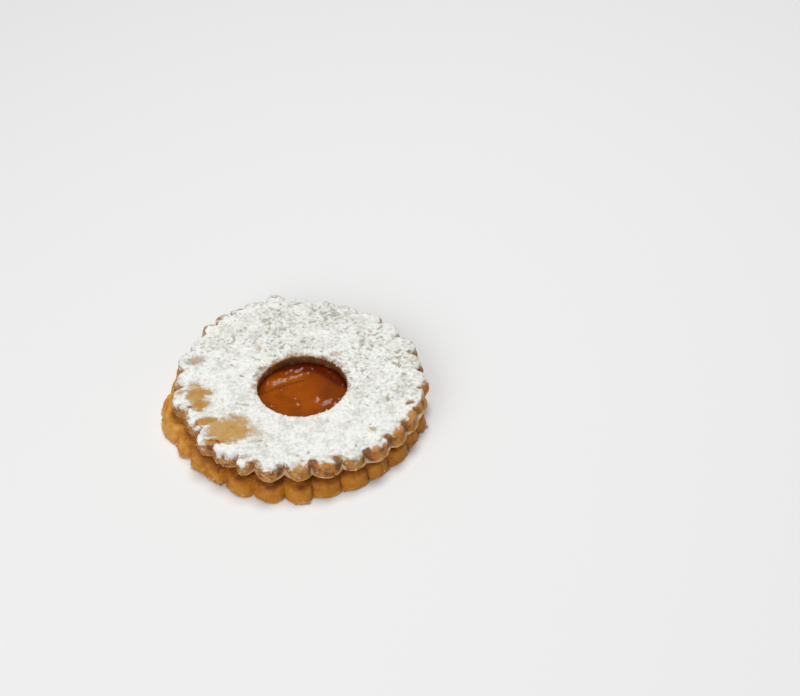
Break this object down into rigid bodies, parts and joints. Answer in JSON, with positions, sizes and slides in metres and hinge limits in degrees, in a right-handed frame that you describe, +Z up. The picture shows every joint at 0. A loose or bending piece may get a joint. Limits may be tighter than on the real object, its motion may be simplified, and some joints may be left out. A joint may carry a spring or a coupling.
{
  "type": "linzer cookie",
  "caption": "Round jam sandwich cookie with scalloped edges, a sugared top and a window that shows the apricot jam; a single snack that rests flat.",
  "frame": {"origin": "centre of the bottom of the part's box, on the flat base that it rests on", "axes": "+Z up out of the sugared face, -Y towards the side that the picture shows in front, +X to the right of that view"},
  "size_m": [0.0906, 0.0906, 0.014],
  "materials": {
    "shortbread": "baked shortbread, golden tan and matt, paler at the foot of its scalloped side, with fine crumbs",
    "apricot_jam": "set apricot jam, glossy amber orange, darker where it is deep",
    "sugared_shortbread": "baked shortbread under a soft white coat of powdered sugar, with bare golden patches and bare scallops"
  },
  "bodies": {
    "root": {"bottom_cookie": "shortbread", "jam": "apricot_jam", "top_cookie": "sugared_shortbread"}
  },
  "joints": []
}
